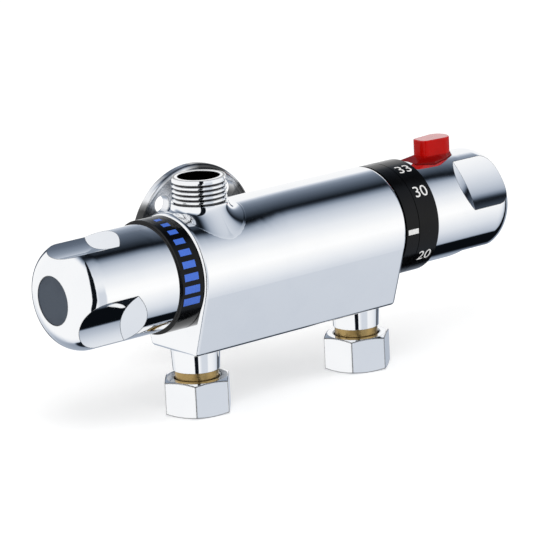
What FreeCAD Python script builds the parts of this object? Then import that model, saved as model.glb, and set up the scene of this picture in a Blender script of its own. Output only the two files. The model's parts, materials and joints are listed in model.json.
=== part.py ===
import FreeCAD, Part
import math
import os
from types import SimpleNamespace

import Sketcher

# Bar thermostatic mixing valve, in millimetres.
# Frame: origin at the centre of the wall plate's back face, +X to the temperature side,
# +Y into the wall, +Z up. The barrel axis runs along X in front of the wall.
# Most pieces are drawn about the barrel axis and placed at the end. Pieces of the flow side
# are drawn with +X pointing out of the body and are turned half round when placed.

os.makedirs("parts", exist_ok=True)

sizes = {
    # casting
    "bodyRadius": 22.5,
    "bodyLength": 100,
    "bodyDepth": 31,
    "footHalfWidth": 13.5,
    "edgeRound": 1.8,
    "barrelShift": 0.7,
    "wallReach": 51,
    "axisRise": 4,
    # outlet
    "outletFromEnd": 16.7,
    "outletRise": 11.7,
    "outletBore": 8.1,
    "neckRadius": 11,
    "neckRise": 2,
    "neckFillet": 3.5,
    "threadCrest": 10.4775,
    "threadRoot": 9.3155,
    "threadPitch": 1.814,
    "grooveShare": 0.15,
    "crestFrom": 0.45,
    "crestTo": 0.85,
    "outletTurns": 5,
    "outletRunIn": 0.35,
    "nutTurns": 4,
    # inlets
    "inletFromEnd": 10,
    "bossTopRadius": 9.5,
    "bossRadius": 9.0,
    "bossLength": 8.5,
    "socketRadius": 7.7,
    "socketDepth": 10.5,
    "waterwayRadius": 6,
    "waterwayTop": 18,
    "channelRadius": 4,
    "channelDepth": 21,
    # bores for the two cartridges
    "mixedRadius": 7,
    "noseBore": 10.5,
    "noseFromEnd": 48,
    "sleeveBore": 14,
    "sleeveFromEnd": 42,
    "glandBore": 15.5,
    "glandDepth": 8,
    "flowBore": 13.5,
    "flowBoreDepth": 26,
    "flowGlandBore": 14.5,
    "flowGlandDepth": 4,
    "hotPortFromEnd": 36.5,
    "coldPortFromEnd": 19.5,
    "portRadius": 2.5,
    # union tails, washers and nuts
    "tailThread": 7.6,
    "tailBore": 6.4,
    "tailTopBore": 5.0,
    "tailStep": 3,
    "collarRadius": 8.45,
    "collarLength": 5.2,
    "flangeRadius": 9.15,
    "flangeHeight": 2,
    "nutFlats": 24,
    "nutHeight": 13.7,
    "nutGap": 3.1,
    "nutLip": 1.8,
    "nutLipBore": 8.85,
    "nutReliefRadius": 10.6,
    "nutChamfer": 0.8,
    "leftNutAngle": -10.9,
    "rightNutAngle": -18.7,
    "washerRadius": 9.05,
    "washerBore": 5.2,
    "washerHeight": 2,
    # check valves in the tails
    "cageLength": 12,
    "cageWall": 1.2,
    "seatRadius": 3.4,
    "seatHeight": 1,
    "seatStart": 3,
    "guideHeight": 1.5,
    "guideRadius": 1.5,
    "cageSlots": 4,
    "poppetHead": 4.5,
    "poppetHeadHeight": 1.4,
    "poppetStem": 1.3,
    "checkSpringRadius": 2.6,
    "checkWire": 0.45,
    "checkTurns": 4,
    # wall fixing
    "plateRadius": 29.5,
    "plateThickness": 3.8,
    "plateRound": 1.6,
    "plateHoleCircle": 46.6,
    "plateHoleRadius": 3.5,
    "plateHoles": 4,
    "stemRadius": 9,
    "stemSpigot": 6,
    "stemSpigotLength": 4.8,
    "stemSunk": 2.5,
    "stemScrewDepth": 12,
    "fixingShank": 2.5,
    "fixingHead": 5.0,
    "fixingHeadDepth": 2.5,
    "fixingHex": 1.6,
    # index ring and temperature cartridge
    "ringInset": 0.2,
    "indexWidth": 6.3,
    "indexWeb": 3,
    "indexRim": 2.6,
    "lugGap": 0.9,
    "lugWidth": 2,
    "lugReach": 11.5,
    "lugSpanAngle": 10,
    "lugClearAngle": 1,
    "hotStopAngle": -2.4,
    "coldStopAngle": 120.6,
    "collarGap": 3.3,
    "glandCollarLength": 4.5,
    "glandKeyBore": 8.6,
    "glandKeyFlat": 7.1,
    "glandKeyLength": 5,
    "glandFlangeBore": 7.6,
    "glandShaftBore": 5.6,
    "clipWidth": 1,
    "clipReach": 1.6,
    "sleeveWall": 2,
    "sleeveWaist": 1,
    "waistHalfLength": 4,
    "seatLip": 1,
    "shuttleLength": 13,
    "shuttleWall": 1.4,
    "shuttleWeb": 2.5,
    "shuttleHoles": 6,
    "elementRadius": 4.5,
    "elementFlange": 6.5,
    "elementNeck": 3.6,
    "elementPiston": 1.5,
    "elementLength": 20,
    "returnSpringRadius": 8.6,
    "returnWire": 1.1,
    "returnTurns": 3,
    "driveNutRadius": 8.5,
    "driveNutLength": 9,
    "driveNutBore": 3.9,
    "overloadRadius": 3.2,
    "overloadWire": 0.8,
    "overloadTurns": 3,
    # spindles
    "spindleScrew": 3.8,
    "spindleFlange": 7.3,
    "spindleFlangeLength": 1.8,
    "spindleShaft": 5.5,
    "driveRadius": 4.5,
    "driveFlat": 3.7,
    "driveBoreDepth": 20,
    # flow cartridge
    "sealWidth": 2,
    "discRadius": 11.6,
    "fixedDiscWidth": 3,
    "movingDiscWidth": 3,
    "discPortInner": 2.6,
    "discPortOuter": 8.4,
    "discPortHalfAngle": 42,
    "housingEnd": 4,
    "windowRadius": 4.5,
    "carrierWidth": 2.6,
    # knobs
    "knobInset": 1.8,
    "flowRingWidth": 10,
    "flowKnobLength": 43.4,
    "numberRingWidth": 10.2,
    "temperatureKnobLength": 44.6,
    "domeRadius": 11,
    "scoopFromTip": 28.6,
    "scoopDepth": 5,
    "scoopRadius": 31,
    "facetSlope": 1.6,
    "scoopCount": 3,
    "flowScoopAngle": 90,
    "temperatureScoopAngle": 34.5,
    "ringWall": 2.8,
    "spigotLength": 7.9,
    "spigotWall": 1.3,
    "hollowEnd": 3,
    "coreWall": 7.4,
    "coreEnd": 33,
    "hubRadius": 7.5,
    "hubReach": 6,
    "webWidth": 3,
    "screwHole": 2.2,
    "screwPocket": 5,
    "capRim": 0.5,
    "capRecess": 2,
    "capThickness": 1.7,
    "capSpigot": 3,
    "capSpigotWall": 1.2,
    "screwHead": 4.3,
    "screwHeadHeight": 3,
    "screwShank": 1.95,
    "screwLength": 13,
    "screwHex": 1.7,
    "flowRingInset": 0.7,
    # stop button
    "buttonGap": 4.6,
    "footLength": 21.2,
    "footEndHalf": 5,
    "footWidestFrom": 7.9,
    "footHalf": 7.3,
    "footTaperFrom": 16.1,
    "footTaperHalf": 5.25,
    "footBendFrom": 19.5,
    "footBendHalf": 3.9,
    "footTipHalf": 1.4,
    "thumbGap": 10.1,
    "thumbLength": 15.2,
    "thumbHalf": 4,
    "thumbTipHalf": 4.9,
    "thumbCorner": 2.6,
    "thumbRise": 7.6,
    "flareSunk": 0.3,
    "flareRise": 1.1,
    "flareLip": 0.15,
    "flareBendShare": 0.75,
    "flareTipShare": 0.25,
    "thumbRound": 0.5,
    "buttonDepth": 5.9,
    "buttonCollar": 1.2,
    "buttonCollarHeight": 1.2,
    "buttonTravel": 2.5,
    "tangFromBody": 9.2,
    "tangHalf": 2.2,
    "buttonSpringRadius": 2.2,
    "buttonWire": 0.5,
    "buttonTurns": 3,
    # clearances
    "runFit": 0.08,
    "slideFit": 0.1,
    "sideFit": 0.3,
    "endFit": 0.3,
    "freePlay": 0.25,
    "cutOver": 1,
}

doc = FreeCAD.newDocument("MixingValve")
sheet = doc.addObject("Spreadsheet::Sheet", "Sizes")


class Size:
    """A number that remembers the spreadsheet formula it comes from."""

    def __init__(self, value, formula):
        self.value = float(value)
        self.formula = formula

    def __add__(self, other):
        other = asSize(other)
        return Size(self.value + other.value, f"({self.formula} + {other.formula})")

    def __radd__(self, other):
        return asSize(other) + self

    def __sub__(self, other):
        other = asSize(other)
        return Size(self.value - other.value, f"({self.formula} - {other.formula})")

    def __rsub__(self, other):
        return asSize(other) - self

    def __mul__(self, other):
        other = asSize(other)
        return Size(self.value * other.value, f"({self.formula} * {other.formula})")

    def __rmul__(self, other):
        return asSize(other) * self

    def __truediv__(self, other):
        other = asSize(other)
        return Size(self.value / other.value, f"({self.formula} / {other.formula})")

    def __neg__(self):
        return Size(-self.value, f"(0 - {self.formula})")


def asSize(number):
    if isinstance(number, Size):
        return number
    return Size(number, repr(float(number)))


def root(size):
    size = asSize(size)
    return Size(math.sqrt(size.value), f"sqrt({size.formula})")


def fillSheet():
    named = {}
    for row, (name, number) in enumerate(sizes.items(), start=1):
        sheet.set(f"A{row}", name)
        sheet.set(f"B{row}", str(number))
        sheet.setAlias(f"B{row}", name)
        named[name] = Size(number, f"Sizes.{name}")
    doc.recompute()
    return SimpleNamespace(**named)


s = fillSheet()
made = []
close = 0.01
coilSteps = 10
alongX = (0, 90, 0)


def bind(item, prop, size):
    size = asSize(size)
    item.setExpression(prop, size.formula)
    return item


def originPart(body, role):
    return next(part for part in body.Origin.OriginFeatures if part.Role == role)


def newBody(name):
    return doc.addObject("PartDesign::Body", name)


def newSketch(body, plane, name, offset=None):
    sketch = body.newObject("Sketcher::SketchObject", name)
    sketch.AttachmentSupport = [(originPart(body, plane), "")]
    sketch.MapMode = "FlatFace"
    if offset is not None:
        bind(sketch, "AttachmentOffset.Base.z", offset)
    return sketch


def arcBetween(start, end, radius, leftTurn):
    """Arc from start to end, curving left when leftTurn is true, as a counter-clockwise arc."""
    chord = end - start
    half = chord.Length / 2
    lift = math.sqrt(max(radius * radius - half * half, 0))
    normal = FreeCAD.Vector(-chord.y, chord.x, 0).normalize()
    side = 1 if leftTurn else -1
    centre = (start + end) / 2 + normal * lift * side
    circle = Part.Circle(centre, FreeCAD.Vector(0, 0, 1), radius)
    first, last = (start, end) if leftTurn else (end, start)
    a = math.atan2(first.y - centre.y, first.x - centre.x)
    b = math.atan2(last.y - centre.y, last.x - centre.x)
    return Part.ArcOfCircle(circle, a, b)


def drawOutline(sketch, outline):
    """Closed outline of corners (across, along), or (across, along, radius, left) where an arc follows."""
    count = len(outline)
    corners = [FreeCAD.Vector(asSize(c[0]).value, asSize(c[1]).value, 0) for c in outline]
    first = sketch.GeometryCount
    startEnd = []
    for i, corner in enumerate(outline):
        after = corners[(i + 1) % count]
        if len(corner) == 4:
            radius = asSize(corner[2]).value
            sketch.addGeometry(arcBetween(corners[i], after, radius, corner[3]), False)
            startEnd.append((1, 2) if corner[3] else (2, 1))
        else:
            sketch.addGeometry(Part.LineSegment(corners[i], after), False)
            startEnd.append((1, 2))
    rules = []
    bound = []
    for i, corner in enumerate(outline):
        j = (i + 1) % count
        rules.append(Sketcher.Constraint("Coincident", first + i, startEnd[i][1], first + j, startEnd[j][0]))
    for i, corner in enumerate(outline):
        for kind, place in (("DistanceX", 0), ("DistanceY", 1)):
            size = asSize(corner[place])
            bound.append((len(rules), size))
            rules.append(Sketcher.Constraint(kind, -1, 1, first + i, startEnd[i][0], size.value))
        if len(corner) == 4:
            size = asSize(corner[2])
            bound.append((len(rules), size))
            rules.append(Sketcher.Constraint("Radius", first + i, size.value))
    start = sketch.ConstraintCount
    sketch.addConstraint(rules)
    for index, size in bound:
        if "Sizes." in size.formula:
            sketch.setExpression(f"Constraints[{start + index}]", size.formula)


def drawCircle(sketch, across, along, radius):
    across, along, radius = asSize(across), asSize(along), asSize(radius)
    centre = FreeCAD.Vector(across.value, along.value, 0)
    first = sketch.GeometryCount
    start = sketch.ConstraintCount
    sketch.addGeometry(Part.Circle(centre, FreeCAD.Vector(0, 0, 1), radius.value), False)
    sketch.addConstraint([
        Sketcher.Constraint("DistanceX", -1, 1, first, 3, across.value),
        Sketcher.Constraint("DistanceY", -1, 1, first, 3, along.value),
        Sketcher.Constraint("Radius", first, radius.value),
    ])
    for index, size in enumerate((across, along, radius)):
        if "Sizes." in size.formula:
            sketch.setExpression(f"Constraints[{start + index}]", size.formula)


turningPlane = {"X": "XZ_Plane", "Y": "XY_Plane", "Z": "XZ_Plane"}


def turned(name, outline, axis="X"):
    """Body of revolution. Corners are (along, radius) about X and (radius, along) about Y or Z."""
    body = newBody(name)
    sketch = newSketch(body, turningPlane[axis], name + "Profile")
    drawOutline(sketch, outline)
    spin = body.newObject("PartDesign::Revolution", name + "Turn")
    spin.Profile = sketch
    spin.ReferenceAxis = (originPart(body, axis + "_Axis"), [""])
    spin.Angle = 360
    return body


def padded(name, outline, length, plane="XZ_Plane", centred=True, offset=None):
    body = newBody(name)
    sketch = newSketch(body, plane, name + "Outline", offset)
    drawOutline(sketch, outline)
    pad = body.newObject("PartDesign::Pad", name + "Pad")
    pad.Profile = sketch
    pad.Midplane = centred
    bind(pad, "Length", length)
    return body


def rod(name, radius, length, axis="X", at=(0, 0, 0)):
    """Part cylinder that starts at a point and runs along +X, +Y or +Z."""
    item = doc.addObject("Part::Cylinder", name)
    bind(item, "Radius", radius)
    bind(item, "Height", length)
    turn = {"X": (0, 90, 0), "Y": (0, 0, -90), "Z": (0, 0, 0)}[axis]
    item.Placement = FreeCAD.Placement(FreeCAD.Vector(), FreeCAD.Rotation(*turn))
    return moved(item, *at)


def block(name, low, high):
    """Part box from its low corner to its high corner."""
    item = doc.addObject("Part::Box", name)
    for prop, a, b in zip(("Length", "Width", "Height"), low, high):
        bind(item, prop, asSize(b) - asSize(a))
    return moved(item, *low)


def moved(item, x, y, z):
    for axis, size in zip("xyz", (x, y, z)):
        bind(item, "Placement.Base." + axis, size)
    return item


def swung(item, degrees):
    """Turn an item about the barrel axis."""
    base = item.Placement.Base
    spin = FreeCAD.Rotation(FreeCAD.Vector(1, 0, 0), asSize(degrees).value)
    item.Placement = FreeCAD.Placement(base, spin)
    return item


def fused(name, items):
    item = doc.addObject("Part::MultiFuse", name)
    item.Shapes = items
    return item


def cut(name, base, tools):
    item = doc.addObject("Part::Cut", name)
    item.Base = base
    item.Tool = tools[0] if len(tools) == 1 else fused(name + "Tools", tools)
    return item


def common(name, base, tool):
    item = doc.addObject("Part::Common", name)
    item.Base = base
    item.Tool = tool
    return item


def placed(item, label, x, y, z, yaw=0, roll=0):
    """Label a finished sub-part, put it in the frame of the part and list it for export."""
    item.Placement = FreeCAD.Placement(FreeCAD.Vector(), FreeCAD.Rotation(yaw, 0, roll))
    moved(item, x, y, z)
    item.Label = label
    made.append(item)
    return item


def onBarrel(item, label, yaw=0):
    return placed(item, label, -s.barrelShift, -s.wallReach, s.axisRise, yaw)


def onFlowSide(item, label):
    return onBarrel(item, label, yaw=180)


def atInlet(item, label, side, yaw=0):
    x = side * inletX
    return placed(item, label, x, -s.wallReach, s.axisRise, yaw)


def edgesWhere(shape, test):
    return [f"Edge{i}" for i, edge in enumerate(shape.Edges, start=1) if test(edge)]


def coil(radius, wire, length, turns):
    """Spring along +Z from 0, as a straight-run helix of square wire with its ends inside the length."""
    rise = (length - 2 * wire) / (turns * coilSteps)
    points = []
    for i in range(turns * coilSteps + 1):
        angle = 2 * math.pi * i / coilSteps
        points.append(FreeCAD.Vector(radius * math.cos(angle), radius * math.sin(angle), wire + rise * i))
    path = Part.makePolygon(points)
    run = (points[1] - points[0]).normalize()
    out = FreeCAD.Vector(1, 0, 0)
    up = run.cross(out).normalize()
    section = []
    for a, b in ((1, 1), (-1, 1), (-1, -1), (1, -1), (1, 1)):
        section.append(points[0] + out * wire / 2 * a + up * wire / 2 * b)
    section = Part.makePolygon(section)
    return path.makePipeShell([section], True, True, 1)


def spring(label, radius, wire, length, turns, start, turn):
    """Place a spring: start is its foot, turn its yaw, pitch and roll."""
    item = doc.addObject("Part::Feature", label)
    item.Shape = coil(radius.value, wire.value, length.value, int(turns.value))
    at = FreeCAD.Vector(*[asSize(v).value for v in start])
    item.Placement = FreeCAD.Placement(at, FreeCAD.Rotation(*turn))
    item.Label = label
    made.append(item)
    return item


# Places along the barrel that several pieces share
halfBody = s.bodyLength / 2
outletX = s.outletFromEnd - halfBody
inletX = halfBody - s.inletFromEnd
noseStart = halfBody - s.noseFromEnd
sleeveStart = halfBody - s.sleeveFromEnd
hotPort = halfBody - s.hotPortFromEnd
coldPort = halfBody - s.coldPortFromEnd
flowBoreEnd = halfBody - s.flowBoreDepth
flowKnobStart = halfBody + s.flowRingWidth
temperatureKnobStart = halfBody + s.indexWidth + s.numberRingWidth
buttonStart = temperatureKnobStart + s.buttonGap
thumbStart = temperatureKnobStart + s.thumbGap
thumbEnd = thumbStart + s.thumbLength

# Radii and heights that follow the barrel's radius
neckTop = s.bodyRadius + s.neckRise
outletTop = s.bodyRadius + s.outletRise
stemSeat = s.bodyRadius - s.stemSunk
ringRadius = s.bodyRadius - s.ringInset
flowRingRadius = s.bodyRadius - s.flowRingInset
spigotRadius = ringRadius - s.ringWall
hollowRadius = spigotRadius - s.spigotWall
lugOuter = hollowRadius - s.lugGap
lugInner = lugOuter - s.lugWidth
glandCollar = lugInner - s.collarGap
knobRadius = s.bodyRadius - s.knobInset
coreRadius = knobRadius - s.coreWall
capRadius = knobRadius - s.domeRadius - s.capRim
buttonFoot = knobRadius - s.buttonDepth
flareBottom = knobRadius - s.flareSunk
flareTop = knobRadius + s.flareRise
thumbTop = knobRadius + s.thumbRise

# Heights of the inlet pieces
bossBottom = -(s.bodyDepth + s.bossLength)
nutTop = bossBottom - s.nutGap
nutCorner = s.nutFlats / root(3)
nutBottom = nutTop - s.nutHeight
flangeTop = bossBottom - s.collarLength
flangeBottom = flangeTop - s.flangeHeight
threadCut = s.threadCrest - s.threadRoot


def valveBody():
    casting = newBody("Casting")
    section = newSketch(casting, "YZ_Plane", "BarrelSection")
    drawSection(section)
    barrel = casting.newObject("PartDesign::Pad", "Barrel")
    barrel.Profile = section
    barrel.Midplane = True
    bind(barrel, "Length", s.bodyLength)
    neckSketch = newSketch(casting, "XY_Plane", "NeckCircle")
    drawCircle(neckSketch, outletX, 0, s.neckRadius)
    neck = casting.newObject("PartDesign::Pad", "Neck")
    neck.Profile = neckSketch
    bind(neck, "Length", neckTop)
    doc.recompute()
    ends = casting.newObject("PartDesign::Fillet", "EndRounds")
    ends.Base = (neck, edgesWhere(neck.Shape, isBodyEdge))
    bind(ends, "Radius", s.edgeRound)
    doc.recompute()
    saddle = casting.newObject("PartDesign::Fillet", "NeckRound")
    saddle.Base = (ends, edgesWhere(ends.Shape, isSaddleEdge))
    bind(saddle, "Radius", s.neckFillet)
    casting.Tip = saddle
    outside = [casting, outletThread()]
    for side in (-1, 1):
        boss = turned(f"Boss{side + 2}", [
            (0, s.edgeRound - s.bodyDepth + s.bossLength / 2),
            (s.bossTopRadius, s.edgeRound - s.bodyDepth + s.bossLength / 2),
            (s.bossTopRadius, -s.bodyDepth),
            (s.bossRadius, bossBottom),
            (0, bossBottom),
        ], "Z")
        outside.append(moved(boss, inletAlong(side), 0, 0))
    body = cut("BodyShape", fused("BodyOutside", outside), bodyHollows())
    return onBarrel(body, "valve_body")


def inletAlong(side):
    return side * inletX + s.barrelShift


def drawSection(sketch):
    """Round barrel on top, flat sides drawn tangent to it down to a narrower flat underside."""
    radius, half, depth = s.bodyRadius.value, s.footHalfWidth.value, s.bodyDepth.value
    tilt = math.atan2(depth, half) - math.acos(radius / math.hypot(half, depth))
    right = FreeCAD.Vector(radius * math.cos(tilt), -radius * math.sin(tilt), 0)
    left = FreeCAD.Vector(-right.x, right.y, 0)
    footLeft = FreeCAD.Vector(-half, -depth, 0)
    footRight = FreeCAD.Vector(half, -depth, 0)
    circle = Part.Circle(FreeCAD.Vector(), FreeCAD.Vector(0, 0, 1), radius)
    sketch.addGeometry([
        Part.ArcOfCircle(circle, -tilt, math.pi + tilt),
        Part.LineSegment(left, footLeft),
        Part.LineSegment(footLeft, footRight),
        Part.LineSegment(footRight, right),
    ], False)
    sketch.addConstraint([
        Sketcher.Constraint("Coincident", 0, 3, -1, 1),
        Sketcher.Constraint("Tangent", 0, 2, 1, 1),
        Sketcher.Constraint("Coincident", 1, 2, 2, 1),
        Sketcher.Constraint("Coincident", 2, 2, 3, 1),
        Sketcher.Constraint("Tangent", 3, 2, 0, 1),
        Sketcher.Constraint("Radius", 0, radius),
        Sketcher.Constraint("DistanceX", -1, 1, 1, 2, -half),
        Sketcher.Constraint("DistanceY", -1, 1, 1, 2, -depth),
        Sketcher.Constraint("DistanceX", -1, 1, 2, 2, half),
        Sketcher.Constraint("DistanceY", -1, 1, 2, 2, -depth),
    ])
    formulas = [s.bodyRadius, -s.footHalfWidth, -s.bodyDepth, s.footHalfWidth, -s.bodyDepth]
    for index, size in enumerate(formulas, start=5):
        sketch.setExpression(f"Constraints[{index}]", size.formula)


def isBodyEdge(edge):
    """Edges round the two end faces, and the two long edges of the underside."""
    box = edge.BoundBox
    onEnd = box.XLength < close and abs(abs(box.XMin) - halfBody.value) < close
    under = abs(box.ZMin + s.bodyDepth.value) < close and max(box.ZLength, box.YLength) < close
    return onEnd or under


def isSaddleEdge(edge):
    """The edge where the outlet neck meets the barrel."""
    box = edge.BoundBox
    near = abs(box.Center.x - outletX.value) < s.edgeRound.value and box.XLength > s.neckRadius.value
    return near and box.ZLength > close and box.ZMax < neckTop.value - close


def ridges(base, count, land, groove, pitch):
    """Corners of a thread drawn as rings: flat lands between V grooves, from base upwards."""
    corners = []
    for i in range(int(count.value)):
        start = base + pitch * i
        corners.append((groove, start + pitch * s.grooveShare))
        corners.append((land, start + pitch * s.crestFrom))
        corners.append((land, start + pitch * s.crestTo))
    corners.append((groove, base + pitch * (count + s.grooveShare)))
    return corners


def outletThread():
    start = outletTop - s.threadPitch * (s.outletTurns + s.outletRunIn)
    corners = [(0, start - threadCut), (s.threadRoot, start - threadCut)]
    corners += ridges(start, s.outletTurns, s.threadCrest, s.threadRoot, s.threadPitch)[:-1]
    corners += [(s.threadCrest - threadCut / 4, outletTop), (0, outletTop)]
    return moved(turned("OutletThread", corners, "Z"), outletX, 0, 0)


def bodyHollows():
    """Everything cut out of the casting: cartridge bores, outlet, inlets, water channels and stem socket."""
    over = halfBody + s.cutOver
    bore = turned("BarrelBore", [
        (-over, 0),
        (-over, s.flowGlandBore),
        (s.flowGlandDepth - halfBody, s.flowGlandBore),
        (s.flowGlandDepth - halfBody, s.flowBore),
        (-flowBoreEnd, s.flowBore),
        (-flowBoreEnd, s.mixedRadius),
        (noseStart, s.mixedRadius),
        (noseStart, s.noseBore),
        (sleeveStart, s.noseBore),
        (sleeveStart, s.sleeveBore),
        (halfBody - s.glandDepth, s.sleeveBore),
        (halfBody - s.glandDepth, s.glandBore),
        (over, s.glandBore),
        (over, 0),
    ])
    hollows = [bore, rod("OutletBore", s.outletBore, outletTop + s.cutOver, "Z", (outletX, 0, 0))]
    for side, port in ((-1, hotPort), (1, coldPort)):
        x = inletAlong(side)
        socket = turned(f"Socket{side + 2}", [
            (0, bossBottom - s.cutOver),
            (s.socketRadius, bossBottom - s.cutOver),
            (s.socketRadius, bossBottom + s.socketDepth),
            (s.waterwayRadius, bossBottom + s.socketDepth),
            (s.waterwayRadius, -s.waterwayTop),
            (0, -s.waterwayTop),
        ], "Z")
        hollows.append(moved(socket, x, 0, 0))
        low, length = (x, port - x) if side < 0 else (port, x - port)
        hollows.append(rod(f"Channel{side + 2}", s.channelRadius, length, "X", (low, 0, -s.channelDepth)))
        riser = s.channelDepth - s.sleeveBore + s.cutOver * 2
        hollows.append(rod(f"Riser{side + 2}", s.channelRadius, riser, "Z", (port, 0, -s.channelDepth)))
    socketDepth = s.stemSpigotLength + s.endFit
    back = s.barrelShift
    hollows.append(rod("StemSocket", s.stemSpigot + s.slideFit, socketDepth + s.cutOver, "Y",
                       (back, stemSeat - socketDepth, -s.axisRise)))
    hollows.append(rod("StemSeat", s.stemRadius + s.slideFit, s.bodyRadius, "Y",
                       (back, stemSeat, -s.axisRise)))
    return hollows


def inletPieces():
    tailTop = bossBottom + s.socketDepth - s.endFit
    for side, word in ((-1, "left"), (1, "right")):
        tail = turned(f"Tail{side + 2}", [
            (s.tailTopBore, tailTop),
            (s.tailThread, tailTop),
            (s.tailThread, bossBottom),
            (s.collarRadius, bossBottom),
            (s.collarRadius, flangeTop),
            (s.flangeRadius, flangeTop),
            (s.flangeRadius, flangeBottom),
            (s.tailBore, flangeBottom),
            (s.tailBore, tailTop - s.tailStep),
            (s.tailTopBore, tailTop - s.tailStep),
        ], "Z")
        atInlet(tail, f"inlet_tail_{word}", side)
        washer = turned(f"Washer{side + 2}", [
            (s.washerBore, flangeBottom),
            (s.washerRadius, flangeBottom),
            (s.washerRadius, flangeBottom - s.washerHeight),
            (s.washerBore, flangeBottom - s.washerHeight),
        ], "Z")
        atInlet(washer, f"inlet_washer_{word}", side)
        nutTurn = s.leftNutAngle if side < 0 else s.rightNutAngle
        atInlet(unionNut(side), f"inlet_nut_{word}", side, nutTurn.value)
        checkValve(side, word)


def unionNut(side):
    """Hexagon nut with a retaining lip on top and a pipe thread below it."""
    corner = nutCorner + s.sideFit
    face = s.nutFlats / 2 - s.sideFit
    corners = [(s.nutReliefRadius, nutBottom)]
    corners += ridges(nutBottom + s.sideFit, s.nutTurns, s.threadRoot, s.nutReliefRadius, s.threadPitch)
    corners += [
        (s.nutReliefRadius, nutTop - s.nutLip),
        (s.nutLipBore, nutTop - s.nutLip),
        (s.nutLipBore, nutTop - s.nutChamfer / 2),
        (s.nutLipBore + s.nutChamfer / 2, nutTop),
        (face, nutTop),
        (corner, nutTop - s.nutChamfer),
        (corner, nutBottom + s.nutChamfer),
        (face, nutBottom),
    ]
    ring = turned(f"NutRing{side + 2}", corners, "Z")
    hexagon = doc.addObject("Part::Prism", f"NutHexagon{side + 2}")
    hexagon.Polygon = 6
    bind(hexagon, "Circumradius", nutCorner)
    bind(hexagon, "Height", s.nutHeight)
    moved(hexagon, 0, 0, nutBottom)
    return common(f"Nut{side + 2}", hexagon, ring)


def checkValve(side, word):
    """Spring-loaded poppet in a cage that sits in the tail and lets water only upwards."""
    low = flangeBottom + s.endFit
    top = low + s.cageLength
    outside = s.tailBore - s.slideFit
    inside = outside - s.cageWall
    seat = low + s.seatStart
    web = top - s.guideHeight
    cage = turned(f"CageRing{side + 2}", [
        (inside, low),
        (outside, low),
        (outside, top),
        (s.guideRadius, top),
        (s.guideRadius, web),
        (inside, web),
        (inside, seat + s.seatHeight),
        (s.seatRadius, seat + s.seatHeight),
        (s.seatRadius, seat),
        (inside, seat),
    ], "Z")
    slots = []
    for i in range(int(s.cageSlots.value)):
        reach = (s.guideRadius + inside) / 2
        angle = 2 * math.pi / s.cageSlots.value * (i + 1 / 2)
        at = (reach * math.cos(angle), reach * math.sin(angle), web - s.cutOver)
        slots.append(rod(f"CageSlot{side + 2}{i}", (inside - s.guideRadius) / 2 - s.endFit,
                         s.guideHeight + s.cutOver * 2, "Z", at))
    atInlet(cut(f"Cage{side + 2}", cage, slots), f"check_cage_{word}", side)
    head = seat + s.seatHeight
    poppet = turned(f"Poppet{side + 2}", [
        (0, head),
        (s.poppetHead - s.poppetHeadHeight / 2, head),
        (s.poppetHead, head + s.poppetHeadHeight / 2),
        (s.poppetHead, head + s.poppetHeadHeight),
        (s.poppetStem, head + s.poppetHeadHeight),
        (s.poppetStem, top - s.endFit),
        (0, top - s.endFit),
    ], "Z")
    atInlet(poppet, f"check_poppet_{word}", side)
    foot = head + s.poppetHeadHeight
    x = side * inletX
    spring(f"check_spring_{word}", s.checkSpringRadius, s.checkWire, web - foot, s.checkTurns,
           (x, -s.wallReach, s.axisRise + foot), (0, 0, 0))


def wallPieces():
    head = s.fixingHead + s.sideFit
    disc = turned("PlateDisc", [
        (s.fixingShank + s.sideFit, -s.plateThickness),
        (s.fixingShank + s.sideFit, -s.fixingHeadDepth),
        (head, 0),
        (s.plateRadius, 0),
        (s.plateRadius, s.plateRound - s.plateThickness, s.plateRound, False),
        (s.plateRadius - s.plateRound, -s.plateThickness),
    ], "Y")
    holeSketch = newSketch(disc, "XZ_Plane", "ScrewHole")
    along = s.plateHoleCircle / 2 / root(2)
    drawCircle(holeSketch, along, along, s.plateHoleRadius)
    hole = disc.newObject("PartDesign::Pocket", "ScrewHolePocket")
    hole.Profile = holeSketch
    hole.Type = 1
    hole.Midplane = True
    pattern = disc.newObject("PartDesign::PolarPattern", "ScrewHoles")
    pattern.Originals = [hole]
    pattern.Axis = (originPart(disc, "Y_Axis"), [""])
    pattern.Angle = 360
    bind(pattern, "Occurrences", s.plateHoles)
    disc.Tip = pattern
    placed(disc, "wall_plate", 0, 0, 0)
    front = -s.plateThickness
    seat = stemSeat - s.wallReach
    stem = turned("Stem", [
        (0, front - s.stemScrewDepth),
        (s.fixingShank + s.slideFit, front - s.stemScrewDepth),
        (s.fixingShank + s.slideFit, front),
        (s.stemRadius, front),
        (s.stemRadius, seat),
        (s.stemSpigot, seat),
        (s.stemSpigot, seat - s.stemSpigotLength),
        (0, seat - s.stemSpigotLength),
    ], "Y")
    placed(stem, "wall_stem", 0, 0, 0)
    sunk = -s.slideFit
    screw = turned("FixingScrew", [
        (0, sunk),
        (s.fixingHead, sunk),
        (s.fixingShank, sunk - s.fixingHeadDepth),
        (s.fixingShank, front - s.stemScrewDepth + s.endFit),
        (0, front - s.stemScrewDepth + s.endFit),
    ], "Y")
    drive = doc.addObject("Part::Prism", "FixingDrive")
    drive.Polygon = 6
    bind(drive, "Circumradius", s.fixingHex)
    bind(drive, "Height", s.fixingHeadDepth)
    drive.Placement = FreeCAD.Placement(FreeCAD.Vector(), FreeCAD.Rotation(0, 0, -90))
    moved(drive, 0, -s.fixingHeadDepth + sunk, 0)
    placed(cut("FixingShape", screw, [drive]), "plate_screw", 0, 0, 0)


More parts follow.
